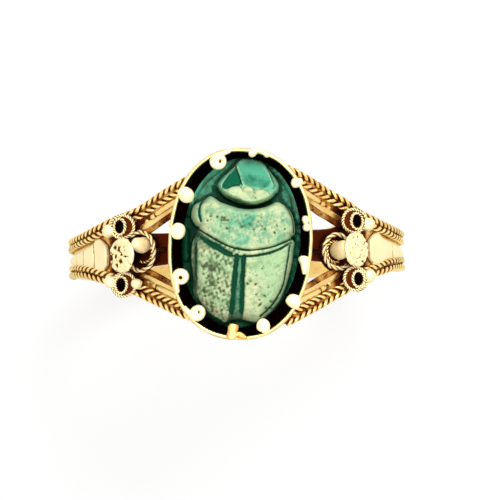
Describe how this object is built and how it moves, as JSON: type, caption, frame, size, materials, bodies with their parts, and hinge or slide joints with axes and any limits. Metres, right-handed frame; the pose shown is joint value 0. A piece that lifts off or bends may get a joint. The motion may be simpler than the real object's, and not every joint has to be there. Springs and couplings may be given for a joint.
{
  "type": "scarab ring",
  "caption": "Gold finger ring with forked twisted-wire shoulders, grain rosettes and an oval collet whose scrolled claws hold a carved glazed scarab.",
  "frame": {"origin": "centre of the finger hole", "axes": "+Y along the finger hole, +Z from the finger up through the bezel, +X across the hand"},
  "size_m": [0.0208, 0.0114, 0.0241],
  "materials": {
    "gold": "polished yellow gold",
    "dark_gold": "satin yellow gold with dark recesses",
    "glaze": "worn blue-green glaze, semi-gloss"
  },
  "bodies": {
    "root": {"arm_wire_left_lower": "gold", "arm_wire_left_upper": "gold", "arm_wire_right_lower": "gold", "arm_wire_right_upper": "gold", "base_ring_left": "gold", "base_ring_right": "gold", "claw_01": "gold", "claw_02": "gold", "claw_03": "gold", "claw_04": "gold", "claw_05": "gold", "claw_06": "gold", "claw_07": "gold", "claw_08": "gold", "claw_09": "gold", "claw_10": "gold", "claw_11": "gold", "claw_12": "gold", "collet_base": "dark_gold", "collet_rim": "gold", "collet_wall": "dark_gold", "corner_grain_left_lower": "gold", "corner_grain_left_upper": "gold", "corner_grain_right_lower": "gold", "corner_grain_right_upper": "gold", "dome_grain_left": "gold", "dome_grain_right": "gold", "edge_wire_inner_left_lower": "gold", "edge_wire_inner_left_upper": "gold", "edge_wire_inner_right_lower": "gold", "edge_wire_inner_right_upper": "gold", "edge_wire_outer_left_lower": "gold", "edge_wire_outer_left_upper": "gold", "edge_wire_outer_right_lower": "gold", "edge_wire_outer_right_upper": "gold", "hoop": "gold", "inner_loop_left": "gold", "inner_loop_right": "gold", "inner_wire_left_lower": "gold", "inner_wire_left_upper": "gold", "inner_wire_right_lower": "gold", "inner_wire_right_upper": "gold", "join_grain_left_lower": "gold", "leaf_left": "gold", "leaf_right": "gold", "near_loop_left": "gold", "near_loop_right": "gold", "rosette_collar_left": "dark_gold", "rosette_collar_right": "dark_gold", "rosette_left": "gold", "rosette_right": "gold", "scarab": "glaze", "side_loop_left_lower": "gold", "side_loop_left_upper": "gold", "side_loop_right_lower": "gold", "side_loop_right_upper": "gold", "stub_left": "gold", "stub_right": "gold"}
  },
  "joints": []
}
